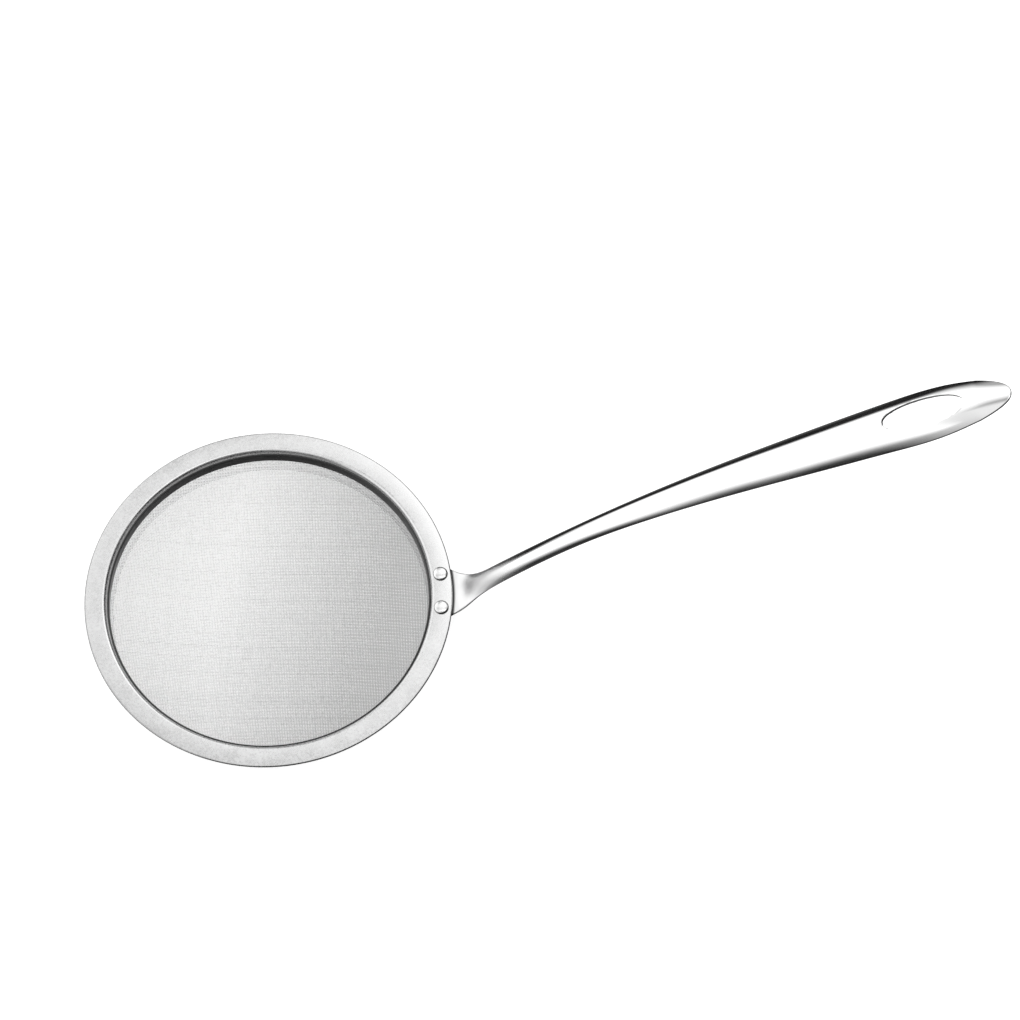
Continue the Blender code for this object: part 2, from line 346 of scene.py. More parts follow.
def soften_hole(obj, length, width, centre, slope):
    """Round the sharp edges round an elliptic hole."""
    bm = bmesh.new()
    bm.from_mesh(obj.data)
    along = Vector((math.cos(slope), 0.0, math.sin(slope)))

    def beside(vert):
        offset = (vert.co - RING_CENTRE) / MM - Vector(centre)
        share_along = offset.dot(along) / (length / 2 + HOLE_EDGE_REACH)
        share_across = offset.y / (width / 2 + HOLE_EDGE_REACH)
        return share_along**2 + share_across**2 < 1.0

    sharp = [
        edge
        for edge in bm.edges
        if edge.is_manifold
        and edge.calc_face_angle() > SMOOTH_ANGLE
        and beside(edge.verts[0])
        and beside(edge.verts[1])
    ]
    bmesh.ops.bevel(bm, geom=sharp, offset=HOLE_EDGE * MM, segments=2, affect="EDGES", profile=0.5)
    bm.to_mesh(obj.data)
    bm.free()


def rivet_hole(side):
    size = 2 * RIVET_HOLE_R
    centre = (RIVET_X, side * RIVET_Y, -RIM_SHEET)
    low, high = -RIVET_CUT_REACH, RIVET_CUT_REACH
    return elliptic_prism(size, size, low, high, centre, 0.0, RIVET_HOLE_SEGMENTS)


# ---------------------------------------------------------------- rim, clamp ring and rivets


def build_rim():
    """Flange with rounded edges, fillet, collar with a pressed bead, and the foot turned in."""
    outer = COLLAR_INNER_R + RIM_SHEET
    edge = RIM_EDGE_ROUND
    fillet_r = COLLAR_INNER_R + COLLAR_FILLET
    bead_mid = (BEAD_TOP + BEAD_BOTTOM) / 2
    foot = -RIM_HEIGHT
    lip_top = foot + RIM_SHEET
    profile = arc(RIM_OUTER_R - edge, -edge, edge, 90, 0, 6)
    profile += arc(RIM_OUTER_R - edge, -RIM_SHEET + edge, edge, 0, -90, 6)
    profile += arc(outer + FOOT_ROUND, -RIM_SHEET - FOOT_ROUND, FOOT_ROUND, 90, 180, 4)
    for i in range(BEAD_STEPS + 1):
        share = i / BEAD_STEPS
        dent = BEAD_DEPTH * 0.5 * (1 - math.cos(2 * math.pi * share))
        profile.append((outer - dent, bead_mid + GROOVE_HALF_HEIGHT * (1 - 2 * share)))
    profile += arc(outer - FOOT_ROUND, foot + FOOT_ROUND, FOOT_ROUND, 0, -90, 4)
    profile += arc(FOOT_LIP_INNER_R + FOOT_ROUND, foot + FOOT_ROUND, FOOT_ROUND, -90, -180, 4)
    profile += arc(FOOT_LIP_INNER_R + FOOT_ROUND, lip_top - FOOT_ROUND, FOOT_ROUND, 180, 90, 4)
    profile += arc(COLLAR_INNER_R - FOOT_ROUND, lip_top + FOOT_ROUND, FOOT_ROUND, -90, 0, 4)
    for i in range(BEAD_STEPS + 1):
        share = i / BEAD_STEPS
        rise = BEAD_DEPTH * math.sin(math.pi * share)
        profile.append((COLLAR_INNER_R - rise, BEAD_BOTTOM + (BEAD_TOP - BEAD_BOTTOM) * share))
    profile += arc(fillet_r, -COLLAR_FILLET, COLLAR_FILLET, 180, 90, 12)
    obj = turned("rim_finish", profile, True, (0, 0, 0), TURNED_SEGMENTS)
    drill(obj, [rivet_hole(-1), rivet_hole(1)])
    shade(obj)
    obj.visible_glossy = False
    return obj


def build_clamp():
    """Short tube inside the collar, with a rolled top lip."""
    outer = COLLAR_INNER_R - CLAMP_GAP
    lip = CLAMP_SHEET / 2
    profile = arc(outer - lip, CLAMP_TOP - lip, lip, 180, 0, 12)
    profile += [(outer, CLAMP_BOTTOM + CLAMP_BEVEL), (outer - CLAMP_BEVEL, CLAMP_BOTTOM)]
    inner = outer - CLAMP_SHEET
    profile += [(inner + CLAMP_BEVEL, CLAMP_BOTTOM), (inner, CLAMP_BOTTOM + CLAMP_BEVEL)]
    obj = turned("clamp_finish", profile, True, (0, 0, 0), TURNED_SEGMENTS)
    shade(obj)
    obj.visible_glossy = False
    return obj


def build_rivet(name, side):
    """Domed head, shank and clinched tail."""
    tail_z = HANDLE_SECTIONS[0][1] - HANDLE_SHEET - RIVET_GAP
    bottom = tail_z - RIVET_TAIL_HEIGHT
    dome = RIVET_HEAD_HEIGHT - RIVET_HEAD_FOOT
    profile = [(0.0, RIVET_GAP + RIVET_HEAD_HEIGHT)]
    for i in range(1, RIVET_HEAD_STEPS + 1):
        angle = math.radians(90 * (1 - i / RIVET_HEAD_STEPS))
        r = RIVET_HEAD_R * max(math.cos(angle), 0.0) ** RIVET_FULLNESS
        profile.append((r, RIVET_GAP + RIVET_HEAD_FOOT + dome * math.sin(angle)))
    profile += [(RIVET_HEAD_R - RIVET_GAP, RIVET_GAP), (RIVET_SHANK_R, RIVET_GAP)]
    profile += [(RIVET_SHANK_R, tail_z), (RIVET_TAIL_R, tail_z)]
    profile += [(RIVET_TAIL_R, tail_z - RIVET_TAIL_STRAIGHT)]
    profile += [(RIVET_TAIL_R - RIVET_TAIL_ROUND, tail_z - 2 * RIVET_TAIL_STRAIGHT)]
    profile += [(RIVET_SHANK_R, bottom), (0.0, bottom)]
    centre = (RIVET_X, side * RIVET_Y, 0.0)
    obj = turned(name, profile, False, centre, RIVET_SEGMENTS)
    shade(obj)
    return obj


# ---------------------------------------------------------------- handle


def spline(xs, ys):
    """Natural cubic spline through the points, as a function of x."""
    xs = np.array(xs, dtype=float)
    ys = np.array(ys, dtype=float)
    count = len(xs)
    gap = np.diff(xs)
    system = np.eye(count)
    target = np.zeros(count)
    for i in range(1, count - 1):
        system[i, i - 1] = gap[i - 1]
        system[i, i] = 2.0 * (gap[i - 1] + gap[i])
        system[i, i + 1] = gap[i]
        target[i] = 6.0 * ((ys[i + 1] - ys[i]) / gap[i] - (ys[i] - ys[i - 1]) / gap[i - 1])
    bend = np.linalg.solve(system, target)

    def value(x):
        i = int(np.clip(np.searchsorted(xs, x) - 1, 0, count - 2))
        a = (xs[i + 1] - x) / gap[i]
        b = (x - xs[i]) / gap[i]
        cubic = (a**3 - a) * bend[i] + (b**3 - b) * bend[i + 1]
        return float(a * ys[i] + b * ys[i + 1] + cubic * gap[i] ** 2 / 6.0)

    return value


def handle_curves():
    """Height, half width and crown of the handle, each as a function of x."""
    rows = HANDLE_SECTIONS
    spine = spline(
        [TAB_START_X, TAB_MIDDLE_X] + [row[0] for row in rows],
        [rows[0][1], rows[0][1]] + [row[1] for row in rows],
    )
    wide = list(TAB_SECTIONS) + [(row[0], row[2]) for row in rows[1:-1]]
    width = spline([row[0] for row in wide], [row[1] for row in wide])
    crown = spline([TAB_START_X] + [row[0] for row in rows], [0.0] + [row[3] for row in rows])
    tip_width = rows[-2][2]
    tip_run = HANDLE_TIP_X - TIP_START_X

    def height(x):
        return rows[0][1] if x <= TAB_FLAT_END_X else spine(x)

    def half_width(x):
        if x <= TIP_START_X:
            return width(x)
        left = max(0.0, (HANDLE_TIP_X - x) / tip_run)
        return tip_width * left**TIP_TAPER_POWER

    def arch(x):
        return 0.0 if x <= TAB_FLAT_END_X else max(0.0, crown(x))

    return height, half_width, arch


def handle_stations():
    """Places of the cross sections, closer together towards the tip."""
    body = np.linspace(TAB_START_X + HANDLE_EDGE, TIP_START_X, HANDLE_STATIONS, endpoint=False)
    left = (1.0 - np.linspace(0, 1, HANDLE_TIP_STATIONS)) ** 2
    tip_end = HANDLE_TIP_X - HANDLE_EDGE
    tip = tip_end - (tip_end - TIP_START_X) * left
    return list(body) + list(tip)


def handle_faces(height, half_width, arch):
    """Grids of points on the upper and the lower face of the sheet."""
    stations = handle_stations()
    tip_end = HANDLE_TIP_X - HANDLE_EDGE
    sides = np.sin(np.pi * (np.arange(HANDLE_ACROSS + 1) / HANDLE_ACROSS - 0.5))
    grid = np.zeros((len(stations), HANDLE_ACROSS + 1, 3))
    for i, x in enumerate(stations):
        slope = math.atan2(height(x + SLOPE_STEP) - height(x - SLOPE_STEP), 2 * SLOPE_STEP)
        full = half_width(x)
        inset = full - HANDLE_EDGE
        if x > TIP_START_X:
            left = (tip_end - x) / (tip_end - TIP_START_X)
            inset = (half_width(TIP_START_X) - HANDLE_EDGE) * left**TIP_TAPER_POWER
        share = sides * inset / max(full, 0.001)
        up = arch(x) * (1.0 - np.abs(share) ** HANDLE_ARCH_POWER)
        grid[i, :, 0] = x - up * math.sin(slope)
        grid[i, :, 1] = sides * inset
        grid[i, :, 2] = height(x) + up * math.cos(slope)
    grid[-1, :, 1] = sides * HANDLE_TIP_END
    along = np.gradient(grid, axis=0)
    across = np.gradient(grid, axis=1)
    normal = np.cross(along, across)
    normal /= np.linalg.norm(normal, axis=2, keepdims=True)
    normal[-1] = normal[-2]
    return grid, grid - normal * HANDLE_SHEET


def grid_outline(rows, columns):
    """Row and column of each point round the edge of a grid, in order."""
    outline = [(i, columns - 1) for i in range(rows)]
    outline += [(rows - 1, j) for j in range(columns - 2, -1, -1)]
    outline += [(i, 0) for i in range(rows - 2, -1, -1)]
    outline += [(0, j) for j in range(1, columns - 1)]
    return outline


def build_handle():
    """Stamped sheet as one skin: upper face, lower face and the rounded edge all the way round."""
    height, half_width, arch = handle_curves()
    grid, under = handle_faces(height, half_width, arch)
    rows, columns = grid.shape[:2]
    upper = np.arange(rows * columns).reshape(rows, columns)
    lower = upper + rows * columns
    points = np.concatenate([grid.reshape(-1, 3), under.reshape(-1, 3)]).tolist()
    faces = []
    for i in range(rows - 1):
        for j in range(columns - 1):
            a, b, c, d = upper[i, j], upper[i + 1, j], upper[i + 1, j + 1], upper[i, j + 1]
            faces.append((a, b, c, d))
            a, b, c, d = lower[i, j], lower[i, j + 1], lower[i + 1, j + 1], lower[i + 1, j]
            faces.append((a, b, c, d))

    outline = grid_outline(rows, columns)
    top = np.array([grid[i, j] for i, j in outline])
    low = np.array([under[i, j] for i, j in outline])
    middle = (top + low) / 2
    tangent = np.roll(middle, -1, axis=0) - np.roll(middle, 1, axis=0)
    outward = np.cross(tangent, top - low)
    outward /= np.linalg.norm(outward, axis=1, keepdims=True)
    centre_line = np.array([grid[i, columns // 2] for i, j in outline])
    inward = np.sum(outward * (top - centre_line), axis=1) < 0
    if inward.mean() > 0.5:
        outward = -outward
    count = len(outline)
    loops = [[int(upper[i, j]) for i, j in outline]]
    for step in range(1, HANDLE_EDGE_STEPS):
        angle = math.pi * (0.5 - step / HANDLE_EDGE_STEPS)
        rim = middle + (top - low) / 2 * math.sin(angle) + outward * HANDLE_EDGE * math.cos(angle)
        loops.append(list(range(len(points), len(points) + count)))
        points += rim.tolist()
    loops.append([int(lower[i, j]) for i, j in outline])
    for near, far in zip(loops, loops[1:]):
        for k in range(count):
            m = (k + 1) % count
            faces.append((near[k], near[m], far[m], far[k]))
    obj = mesh_object("handle_finish", points, faces)
    face_outwards(obj)

    run = 1.0
    rise = height(HOLE_CENTRE_X + run) - height(HOLE_CENTRE_X - run)
    slope = math.atan2(rise, 2 * run)
    centre = (HOLE_CENTRE_X, 0.0, height(HOLE_CENTRE_X))
    low, high = -HOLE_CUT_REACH, HOLE_CUT_REACH
    hole = elliptic_prism(HOLE_LENGTH, HOLE_WIDTH, low, high, centre, slope, HOLE_SEGMENTS)
    drill(obj, [hole, rivet_hole(-1), rivet_hole(1)])
    soften_hole(obj, HOLE_LENGTH, HOLE_WIDTH, centre, slope)
    shade(obj)
    return obj


# ---------------------------------------------------------------- woven wire cloth


def cloth_height(r):
    """Height of the cloth's middle surface."""
    middle = CLOTH_EDGE_HEIGHT - CLOTH_THICKNESS / 2
    inside = np.minimum(r / CLOTH_DISH_R, 1.0)
    return middle - CLOTH_SAG * (1.0 - inside**2)


def thread_places(count, seed, wander):
    """Places of the parallel threads: even pitch with a slow wander and small single errors."""
    rng = np.random.default_rng(seed)
    places = (np.arange(count) - (count - 1) / 2) * WIRE_PITCH
    places += rng.normal(0.0, wander * WANDER_SINGLE, count)
    for waves in WANDER_WAVES:
        phase = rng.uniform(0, 2 * math.pi)
        wave = np.sin(np.linspace(0, 2 * math.pi * waves, count) + phase)
        places += wander * WANDER_WAVE * wave
    return places


def painted_shade_and_tone(flat, extra, rng):
    """Grey number for each short length of wire: painted shade, lightest on the far left and darker
    by the handle, with random tone on top.
    """
    middle = (flat[1:] + flat[:-1]) / 2
    # Painted shade: darker towards the handle and towards the near side, lightest on the far left.
    wanted = UNSHADED_GREY + PAINTED_SHADE_ACROSS * middle[:, 1]
    wanted -= PAINTED_SHADE_ALONG * np.maximum(middle[:, 0] - PAINTED_SHADE_START_X, 0.0)
    wanted = np.minimum(wanted, UNSHADED_GREY)
    step = (WIRE_GREYS[0] - WIRE_GREYS[-1]) / (len(WIRE_GREYS) - 1)
    level = (WIRE_GREYS[0] - wanted) / step + extra
    level += rng.uniform(-LENGTH_TONE, LENGTH_TONE, len(middle))
    return np.clip(np.round(level), 0, len(WIRE_GREYS) - 1).astype(int)


def wire_family(name, own, other, along_weft, extra_of):
    """Every wire of one direction, waving over and under the crossing wires."""
    rng = np.random.default_rng(len(name))
    cos_t, sin_t = math.cos(WEFT_TURN), math.sin(WEFT_TURN)
    weft = np.array((cos_t, sin_t))
    warp = np.array((-sin_t, cos_t))
    run_dir, step_dir = (weft, warp) if along_weft else (warp, weft)
    points = []
    faces = []
    tones = []
    corners = 2 * math.pi * (np.arange(WIRE_SIDES) + 0.5) / WIRE_SIDES
    corner_side = WIRE_HALF_WIDTH * np.sign(np.cos(corners))
    corner_rise = WIRE_HALF_HEIGHT * np.sign(np.sin(corners))
    base = 0
    for k, place in own:
        if abs(place) >= CLOTH_CUT_R - CLOTH_EDGE_MARGIN:
            continue
        half = math.sqrt(CLOTH_CUT_R**2 - place**2)
        inside = np.abs(other) < half - CROSSING_MARGIN
        runs = np.concatenate([[-half], other[inside], [half]])
        numbers = np.nonzero(inside)[0]
        wave = np.where((numbers + k) % 2 == 0, 1.0, -1.0) * WIRE_WAVE
        if not along_weft:
            wave = -wave
        wave = np.concatenate([[0.0], wave, [0.0]])
        flat = np.outer(runs, run_dir) + place * step_dir
        z = cloth_height(np.hypot(flat[:, 0], flat[:, 1])) + wave
        count = len(runs)
        ring = np.zeros((count, WIRE_SIDES, 3))
        for s in range(WIRE_SIDES):
            ring[:, s, 0] = flat[:, 0] + step_dir[0] * corner_side[s]
            ring[:, s, 1] = flat[:, 1] + step_dir[1] * corner_side[s]
            ring[:, s, 2] = z + corner_rise[s]
        points.append(ring.reshape(-1, 3))
        index = base + np.arange(count * WIRE_SIDES).reshape(count, WIRE_SIDES)
        after = np.roll(index, -1, axis=1)
        quads = np.stack([index[:-1], after[:-1], after[1:], index[1:]], axis=-1)
        faces += quads.reshape(-1, 4).tolist()
        greys = painted_shade_and_tone(flat, extra_of[k], rng)
        tones += np.repeat(greys, WIRE_SIDES).tolist() + [int(greys[0]), int(greys[-1])]
        faces.append(index[0].tolist()[::-1])
        faces.append(index[-1].tolist())
        base += count * WIRE_SIDES
    obj = mesh_object(name, np.concatenate(points), faces)
    obj.data.polygons.foreach_set("material_index", tones)
    return obj


def build_cloth():
    """Weft and warp, each in two pieces."""
    count = int(2 * CLOTH_CUT_R / WIRE_PITCH) + 1
    weft_places = thread_places(count, 11, WEFT_WANDER)
    warp_places = thread_places(count, 23, WARP_WANDER)
    wefts = list(enumerate(weft_places))
    warps = list(enumerate(warp_places))
    half = count // 2
    dark = {int(np.argmin(np.abs(weft_places - place))) for place in DARK_WEFTS}
    rng = random.Random(5)
    weft_extra = [rng.uniform(*WIRE_TONE) for k in range(count)]
    warp_extra = [rng.uniform(*WIRE_TONE) for k in range(count)]
    for k in dark:
        weft_extra[k] += DARK_WEFT_TONE
    return [
        wire_family("cloth_weft_near", wefts[:half], warp_places, True, weft_extra),
        wire_family("cloth_weft_far", wefts[half:], warp_places, True, weft_extra),
        wire_family("cloth_warp_left", warps[:half], weft_places, False, warp_extra),
        wire_family("cloth_warp_right", warps[half:], weft_places, False, warp_extra),
    ]


# ---------------------------------------------------------------- materials


def join(tree, source, socket):
    """Link an output, or set a plain value, on a socket."""
    if isinstance(source, bpy.types.NodeSocket):
        tree.links.new(source, socket)
    else:
        socket.default_value = source


def maths(tree, operation, first, second=0.0):
    node = tree.nodes.new("ShaderNodeMath")
    node.operation = operation
    join(tree, first, node.inputs[0])
    join(tree, second, node.inputs[1])
    return node.outputs[0]


def remap(tree, value, low, high, out_low, out_high, smooth=False):
    """Map the span low to high onto out_low to out_high, held at both ends."""
    node = tree.nodes.new("ShaderNodeMapRange")
    node.interpolation_type = "SMOOTHSTEP" if smooth else "LINEAR"
    join(tree, value, node.inputs["Value"])
    node.inputs["From Min"].default_value = low
    node.inputs["From Max"].default_value = high
    node.inputs["To Min"].default_value = out_low
    node.inputs["To Max"].default_value = out_high
    return node.outputs[0]


def noise(tree, vector, scale, detail, stretch=(1.0, 1.0, 1.0)):
    """Soft random value, in cells of 1 / scale metres."""
    mapping = tree.nodes.new("ShaderNodeMapping")
    mapping.inputs["Scale"].default_value = stretch
    join(tree, vector, mapping.inputs["Vector"])
    node = tree.nodes.new("ShaderNodeTexNoise")
    node.inputs["Scale"].default_value = scale
    node.inputs["Detail"].default_value = detail
    join(tree, mapping.outputs[0], node.inputs["Vector"])
    return node.outputs["Fac"]


def new_metal(name):
    """A metal material, with its node tree, its shader and the object's coordinates."""
    material = bpy.data.materials.new(name)
    material.use_nodes = True
    tree = material.node_tree
    shader = tree.nodes["Principled BSDF"]
    shader.inputs["Metallic"].default_value = 1.0
    place = tree.nodes.new("ShaderNodeTexCoord").outputs["Object"]
    return material, tree, shader, place


def tint(tree, shader, amount, dark, light):
    """Base colour between two greys, by amount."""
    node = tree.nodes.new("ShaderNodeMix")
    node.data_type = "RGBA"
    join(tree, amount, node.inputs["Factor"])
    node.inputs["A"].default_value = (dark, dark, dark, 1.0)
    node.inputs["B"].default_value = (light, light, light, 1.0)
    tree.links.new(node.outputs["Result"], shader.inputs["Base Color"])


def bump(tree, shader, height, distance, strength):
    node = tree.nodes.new("ShaderNodeBump")
    node.inputs["Distance"].default_value = distance
    node.inputs["Strength"].default_value = strength
    join(tree, height, node.inputs["Height"])
    tree.links.new(node.outputs["Normal"], shader.inputs["Normal"])


def weigh(tree, first, first_share, second, second_share):
    """Sum of two values by their shares."""
    first_part = maths(tree, "MULTIPLY", first, first_share)
    return maths(tree, "ADD", first_part, maths(tree, "MULTIPLY", second, second_share))


def in_metres(span):
    return [value * MM for value in span]


def axis_distance(tree, place):
    """Distance from the ring's upright axis."""
    flat = tree.nodes.new("ShaderNodeVectorMath")
    flat.operation = "MULTIPLY"
    join(tree, place, flat.inputs[0])
    flat.inputs[1].default_value = (1.0, 1.0, 0.0)
    offset = tree.nodes.new("ShaderNodeVectorMath")
    offset.operation = "DISTANCE"
    tree.links.new(flat.outputs["Vector"], offset.inputs[0])
    offset.inputs[1].default_value = (RING_CENTRE.x, RING_CENTRE.y, 0.0)
    return offset.outputs["Value"]


def satin_steel():
    """Sanded stainless sheet: soft blotches, fine grain, a few small dents, and painted shade at the
    fillet and the outer edge.
    """
    material, tree, shader, place = new_metal("satin_steel")
    blotch = noise(tree, place, scale=160.0, detail=4.0)
    grain = noise(tree, place, scale=1500.0, detail=3.0)
    mixed = weigh(tree, blotch, 0.4, grain, 0.6)
    radius = axis_distance(tree, place)
    # Painted shade: dark along the fillet at the inner edge and along the flange's outer edge.
    inner = remap(tree, radius, *in_metres(FILLET_SHADE), 0.0, 1.0)
    outer = remap(tree, radius, *in_metres(EDGE_SHADE), 1.0, 0.35)
    unshaded = maths(tree, "MULTIPLY", inner, outer)
    grey = maths(tree, "MULTIPLY", remap(tree, mixed, 0.36, 0.64, 0.81, 1.0), unshaded)
    tint(tree, shader, grey, dark=0.12, light=0.81)
    join(tree, remap(tree, mixed, 0.35, 0.65, 0.22, 0.34), shader.inputs["Roughness"])
    dent = tree.nodes.new("ShaderNodeTexVoronoi")
    dent.inputs["Scale"].default_value = 95.0
    join(tree, place, dent.inputs["Vector"])
    pit = remap(tree, dent.outputs["Distance"], 0.02, 0.07, -1.0, 0.0, smooth=True)
    bump(tree, shader, weigh(tree, pit, 0.7, grain, 0.25), distance=0.00005, strength=0.5)
    return material


def painted_shade_steel():
    """Clamp ring: near-black steel as painted shade down the inside of the collar, paler along its
    rolled lip as a painted highlight.
    """
    material, tree, shader, place = new_metal("painted_shade_steel")
    streak = noise(tree, place, scale=240.0, detail=4.0, stretch=(1.0, 1.0, 6.0))
    split = tree.nodes.new("ShaderNodeSeparateXYZ")
    join(tree, place, split.inputs[0])
    # Painted highlight: paler along the rolled lip; below it, near-black painted shade with random
    # streaks.
    highlight_low = RING_CENTRE.z + (CLAMP_TOP - CLAMP_LIP_HIGHLIGHT) * MM
    lip = remap(tree, split.outputs["Z"], highlight_low, highlight_low + CLAMP_LIP_HIGHLIGHT_FADE * MM, 0.0, 1.0)
    below_lip = maths(tree, "SUBTRACT", 1.0, lip)
    grey = maths(tree, "MULTIPLY", remap(tree, streak, 0.35, 0.65, 0.0, 0.2), below_lip)
    tint(tree, shader, maths(tree, "ADD", grey, lip), dark=0.010, light=0.07)
    join(tree, remap(tree, streak, 0.3, 0.7, 0.24, 0.36), shader.inputs["Roughness"])
    bump(tree, shader, streak, distance=0.00003, strength=0.4)
    return material


def polished_steel():
    """Handle: mirror polish with faint lengthwise marks, satin by the ring, painted shade along its
    seam with the flange.
    """
    material, tree, shader, place = new_metal("polished_steel")
    marks = noise(tree, place, scale=700.0, detail=3.0, stretch=(0.05, 1.0, 0.05))
    haze = noise(tree, place, scale=60.0, detail=3.0)
    radius = axis_distance(tree, place)
    # Painted shade: dark along the seam where the tab passes under the flange's edge.
    seam = remap(tree, radius, *in_metres(SEAM_SHADE), 0.0, 1.0)
    grey = maths(tree, "MULTIPLY", remap(tree, haze, 0.35, 0.65, 0.94, 1.0), seam)
    tint(tree, shader, grey, dark=0.05, light=0.95)
    polish = remap(tree, weigh(tree, marks, 0.5, haze, 0.5), 0.3, 0.7, 0.07, 0.13)
    satin_tab = remap(tree, radius, *in_metres(SATIN_TAB), SATIN_TAB_ROUGHNESS, 0.0, smooth=True)
    join(tree, maths(tree, "ADD", polish, satin_tab), shader.inputs["Roughness"])
    bump(tree, shader, marks, distance=0.00001, strength=0.12)
    return material


def rivet_distance(tree, place):
    """Distance from an upright line just short of the nearer rivet's axis."""
    split = tree.nodes.new("ShaderNodeSeparateXYZ")
    join(tree, place, split.inputs[0])
    line_x = RING_CENTRE.x + (RIVET_X - RIVET_SHADE_SHIFT) * MM
    along = maths(tree, "SUBTRACT", split.outputs["X"], line_x)
    side = maths(tree, "ABSOLUTE", maths(tree, "SUBTRACT", split.outputs["Y"], RING_CENTRE.y))
    across = maths(tree, "SUBTRACT", side, RIVET_Y * MM)
    squares = maths(tree, "ADD", maths(tree, "POWER", along, 2.0), maths(tree, "POWER", across, 2.0))
    return maths(tree, "SQRT", squares)


def rivet_steel():
    """Rivet: soft polish on the dome, painted shade where the head meets the flange."""
    material, tree, shader, place = new_metal("rivet_steel")
    haze = noise(tree, place, scale=420.0, detail=3.0)
    # Painted shade: a dark ring round the foot of the head, a little wider on the side towards the
    # handle.
    radius = rivet_distance(tree, place)
    foot = remap(tree, radius, *in_metres(RIVET_FOOT_SHADE), 1.0, 0.0, smooth=True)
    grey = maths(tree, "MULTIPLY", remap(tree, haze, 0.35, 0.65, 0.90, 1.0), foot)
    tint(tree, shader, grey, dark=0.03, light=0.92)
    join(tree, remap(tree, haze, 0.3, 0.7, 0.22, 0.30), shader.inputs["Roughness"])
    bump(tree, shader, haze, distance=0.00002, strength=0.25)
    return material


def wire_steel(name, grey):
    """Drawn wire: fine die lines and changing gloss along each wire."""
    material, tree, shader, place = new_metal(name)
    shader.inputs["Base Color"].default_value = (grey, grey, grey, 1.0)
    gloss = noise(tree, place, scale=900.0, detail=2.0)
    join(tree, remap(tree, gloss, 0.3, 0.7, 0.28, 0.45), shader.inputs["Roughness"])
    bump(tree, shader, gloss, distance=0.00001, strength=0.3)
    return material


# ---------------------------------------------------------------- studio


def build_floor():
    """Pale floor. Polished metal mirrors the room through it, and a lit patch under the bowl."""
    mesh = bpy.data.meshes.new("floor")
    reach = 3.0
    corners = [(-reach, -reach, 0), (reach, -reach, 0), (reach, reach, 0), (-reach, reach, 0)]
    mesh.from_pydata(corners, [], [(0, 1, 2, 3)])
    floor = bpy.data.objects.new("floor", mesh)
    bpy.context.scene.collection.objects.link(floor)
    material = bpy.data.materials.new("floor_white")
    material.use_nodes = True
    tree = material.node_tree
    shader = tree.nodes["Principled BSDF"]
    shader.inputs["Base Color"].default_value = (FLOOR_GREY, FLOOR_GREY, FLOOR_GREY, 1.0)
    shader.inputs["Roughness"].default_value = 0.9
    shader.inputs["Specular IOR Level"].default_value = 0.0
    shader.inputs["Emission Color"].default_value = (1.0, 1.0, 1.0, 1.0)
    shader.inputs["Emission Strength"].default_value = FLOOR_GLOW
    place = tree.nodes.new("ShaderNodeTexCoord").outputs["Object"]
    under_bowl = maths(tree, "LESS_THAN", axis_distance(tree, place), COLLAR_INNER_R * MM)
    patch = tree.nodes.new("ShaderNodeEmission")
    patch.inputs["Strength"].default_value = BOWL_GLOW
    clear = tree.nodes.new("ShaderNodeBsdfTransparent")
    mirrored = tree.nodes.new("ShaderNodeMixShader")
    tree.links.new(under_bowl, mirrored.inputs[0])
    tree.links.new(clear.outputs[0], mirrored.inputs[1])
    tree.links.new(patch.outputs[0], mirrored.inputs[2])
    path = tree.nodes.new("ShaderNodeLightPath")
    mix = tree.nodes.new("ShaderNodeMixShader")
    tree.links.new(path.outputs["Is Glossy Ray"], mix.inputs[0])
    tree.links.new(shader.outputs[0], mix.inputs[1])
    tree.links.new(mirrored.outputs[0], mix.inputs[2])
    tree.links.new(mix.outputs[0], tree.nodes["Material Output"].inputs["Surface"])
    mesh.materials.append(material)


def card_light(tree, x, y, z):
    """Tall light card round the left side, its foot lower at the front than at the back."""
    angle = maths(tree, "ARCTAN2", y, maths(tree, "MULTIPLY", x, -1.0))
    near_angle = maths(tree, "SUBTRACT", angle, maths(tree, "MULTIPLY", z, CARD_NEAR_LEAN))
    near_edge = remap(tree, near_angle, *CARD_NEAR_EDGE, 0.0, 1.0, smooth=True)
    far_edge = remap(tree, angle, *CARD_FAR_EDGE, 1.0, 0.0, smooth=True)
    foot_height = remap(tree, angle, *CARD_FOOT_TURN, *CARD_FOOT, smooth=True)
    above_foot = maths(tree, "SUBTRACT", z, foot_height)
    low_edge = remap(tree, above_foot, *CARD_FOOT_FADE, 0.0, 1.0, smooth=True)
    top_height = maths(tree, "SUBTRACT", z, maths(tree, "MULTIPLY", angle, CARD_TOP_LEAN))
    high_edge = remap(tree, top_height, *CARD_TOP_FADE, 1.0, 0.0, smooth=True)
    sides = maths(tree, "MULTIPLY", near_edge, far_edge)
    ends = maths(tree, "MULTIPLY", low_edge, high_edge)
    return maths(tree, "MULTIPLY", maths(tree, "MULTIPLY", sides, ends), CARD_LIGHT)


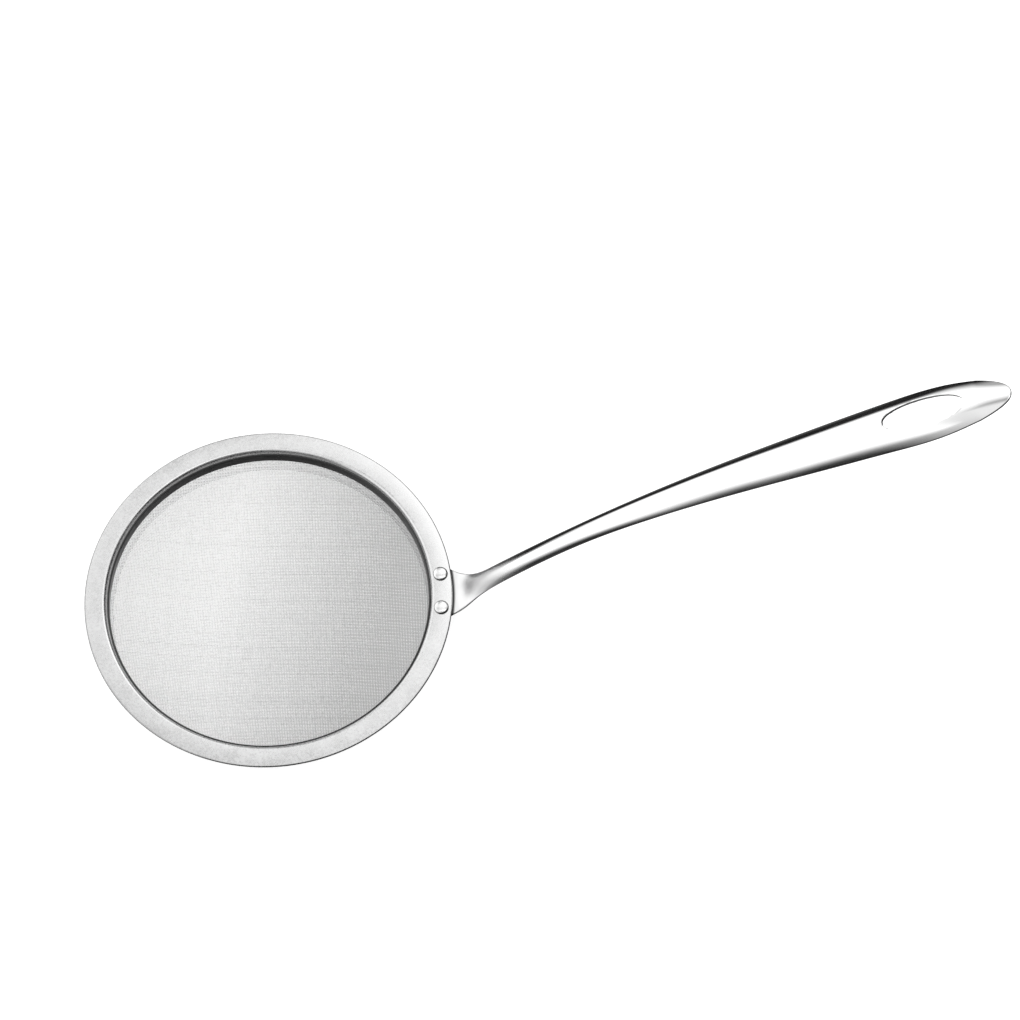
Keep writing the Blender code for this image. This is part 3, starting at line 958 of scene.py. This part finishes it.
def sky_light(tree, direction, x, y, z):
    """Ceiling of light, brighter on the right, with a dim band, a flag and a dark camera side."""
    rise = remap(tree, x, *SKY_RISE_X, 0.0, SKY_RISE)
    overhead = remap(tree, maths(tree, "SUBTRACT", z, rise), *SKY_FADE, 0.0, 1.0)
    sky = remap(tree, x, *SKY_ACROSS_X, SKY_LEFT, SKY_RIGHT)
    aside = maths(tree, "ABSOLUTE", maths(tree, "SUBTRACT", y, BAND_Y))
    sky = maths(tree, "MULTIPLY", sky, remap(tree, aside, *BAND_FADE, *BAND_LIGHT))
    near = remap(tree, y, *CAMERA_SIDE_Y, 1.0, 0.0, smooth=True)
    right = remap(tree, x, *CAMERA_SIDE_X, 0.0, CAMERA_SIDE_DARK, smooth=True)
    camera_side = maths(tree, "MULTIPLY", near, right)
    sky = maths(tree, "MULTIPLY", sky, maths(tree, "SUBTRACT", 1.0, camera_side))
    flag_way = tree.nodes.new("ShaderNodeVectorMath")
    flag_way.operation = "DOT_PRODUCT"
    tree.links.new(direction, flag_way.inputs[0])
    flag_way.inputs[1].default_value = Vector(FLAG_DIRECTION).normalized()
    flag = remap(tree, flag_way.outputs["Value"], *FLAG_FADE, 1.0, FLAG_LIGHT, smooth=True)
    return maths(tree, "MULTIPLY", overhead, maths(tree, "MULTIPLY", sky, flag))


def build_world():
    """Even white room, in which polished metal mirrors a light card, a ceiling and a table."""
    world = bpy.data.worlds.new("studio")
    bpy.context.scene.world = world
    world.use_nodes = True
    tree = world.node_tree
    background = tree.nodes["Background"]
    direction = tree.nodes.new("ShaderNodeTexCoord").outputs["Generated"]
    split = tree.nodes.new("ShaderNodeSeparateXYZ")
    tree.links.new(direction, split.inputs[0])
    x, y, z = split.outputs
    card = card_light(tree, x, y, z)
    mirror = maths(tree, "MAXIMUM", card, sky_light(tree, direction, x, y, z))
    mirror = maths(tree, "MAXIMUM", mirror, remap(tree, z, *TABLE_FADE, 0.0, TABLE_LIGHT))
    mirror = maths(tree, "ADD", mirror, DARK_LIGHT)
    glossy = tree.nodes.new("ShaderNodeLightPath").outputs["Is Glossy Ray"]
    other = maths(tree, "MULTIPLY", maths(tree, "SUBTRACT", 1.0, glossy), ROOM_LIGHT)
    strength = maths(tree, "ADD", maths(tree, "MULTIPLY", glossy, mirror), other)
    background.inputs["Color"].default_value = (1.0, 1.0, 1.0, 1.0)
    tree.links.new(strength, background.inputs["Strength"])


def build_camera():
    """Camera at the viewing angle of a product picture, from above and in front."""
    azimuth = math.radians(CAMERA_AZIMUTH)
    elevation = math.radians(CAMERA_ELEVATION)
    roll = math.radians(CAMERA_ROLL)
    level = Vector((math.cos(azimuth), math.sin(azimuth), 0.0))
    back = level * math.cos(elevation) + Vector((0.0, 0.0, math.sin(elevation)))
    right = Vector((-math.sin(azimuth), math.cos(azimuth), 0.0))
    up = back.cross(right)
    turned_right = right * math.cos(roll) + up * math.sin(roll)
    turned_up = up * math.cos(roll) - right * math.sin(roll)
    data = bpy.data.cameras.new("camera")
    data.lens = CAMERA_LENS
    data.sensor_width = 36.0
    data.clip_start = 0.01
    camera = bpy.data.objects.new("camera", data)
    bpy.context.scene.collection.objects.link(camera)
    rotation = Matrix((turned_right, turned_up, back)).transposed()
    camera.matrix_world = Matrix.Translation(RING_CENTRE + Vector(CAMERA_OFFSET)) @ rotation.to_4x4()
    bpy.context.scene.camera = camera


def dress(obj, materials, nodes):
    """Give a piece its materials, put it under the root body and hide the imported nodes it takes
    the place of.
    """
    for material in materials:
        obj.data.materials.append(material)
    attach(obj, "root")
    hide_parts(*nodes)


dress(build_rim(), [satin_steel()], ["rim_ring"])
dress(build_clamp(), [painted_shade_steel()], ["clamp_ring"])
dress(build_handle(), [polished_steel()], ["handle"])
rivet_finish = [rivet_steel()]
dress(build_rivet("rivet_front_finish", -1), rivet_finish, ["rivet_front"])
dress(build_rivet("rivet_rear_finish", 1), rivet_finish, ["rivet_rear"])
wire_finish = [wire_steel("wire_%d" % i, grey) for i, grey in enumerate(WIRE_GREYS)]
for cloth in build_cloth():
    dress(cloth, wire_finish, ["mesh_screen"])

build_floor()
build_world()
build_camera()
bpy.context.scene.view_settings.view_transform = "Standard"
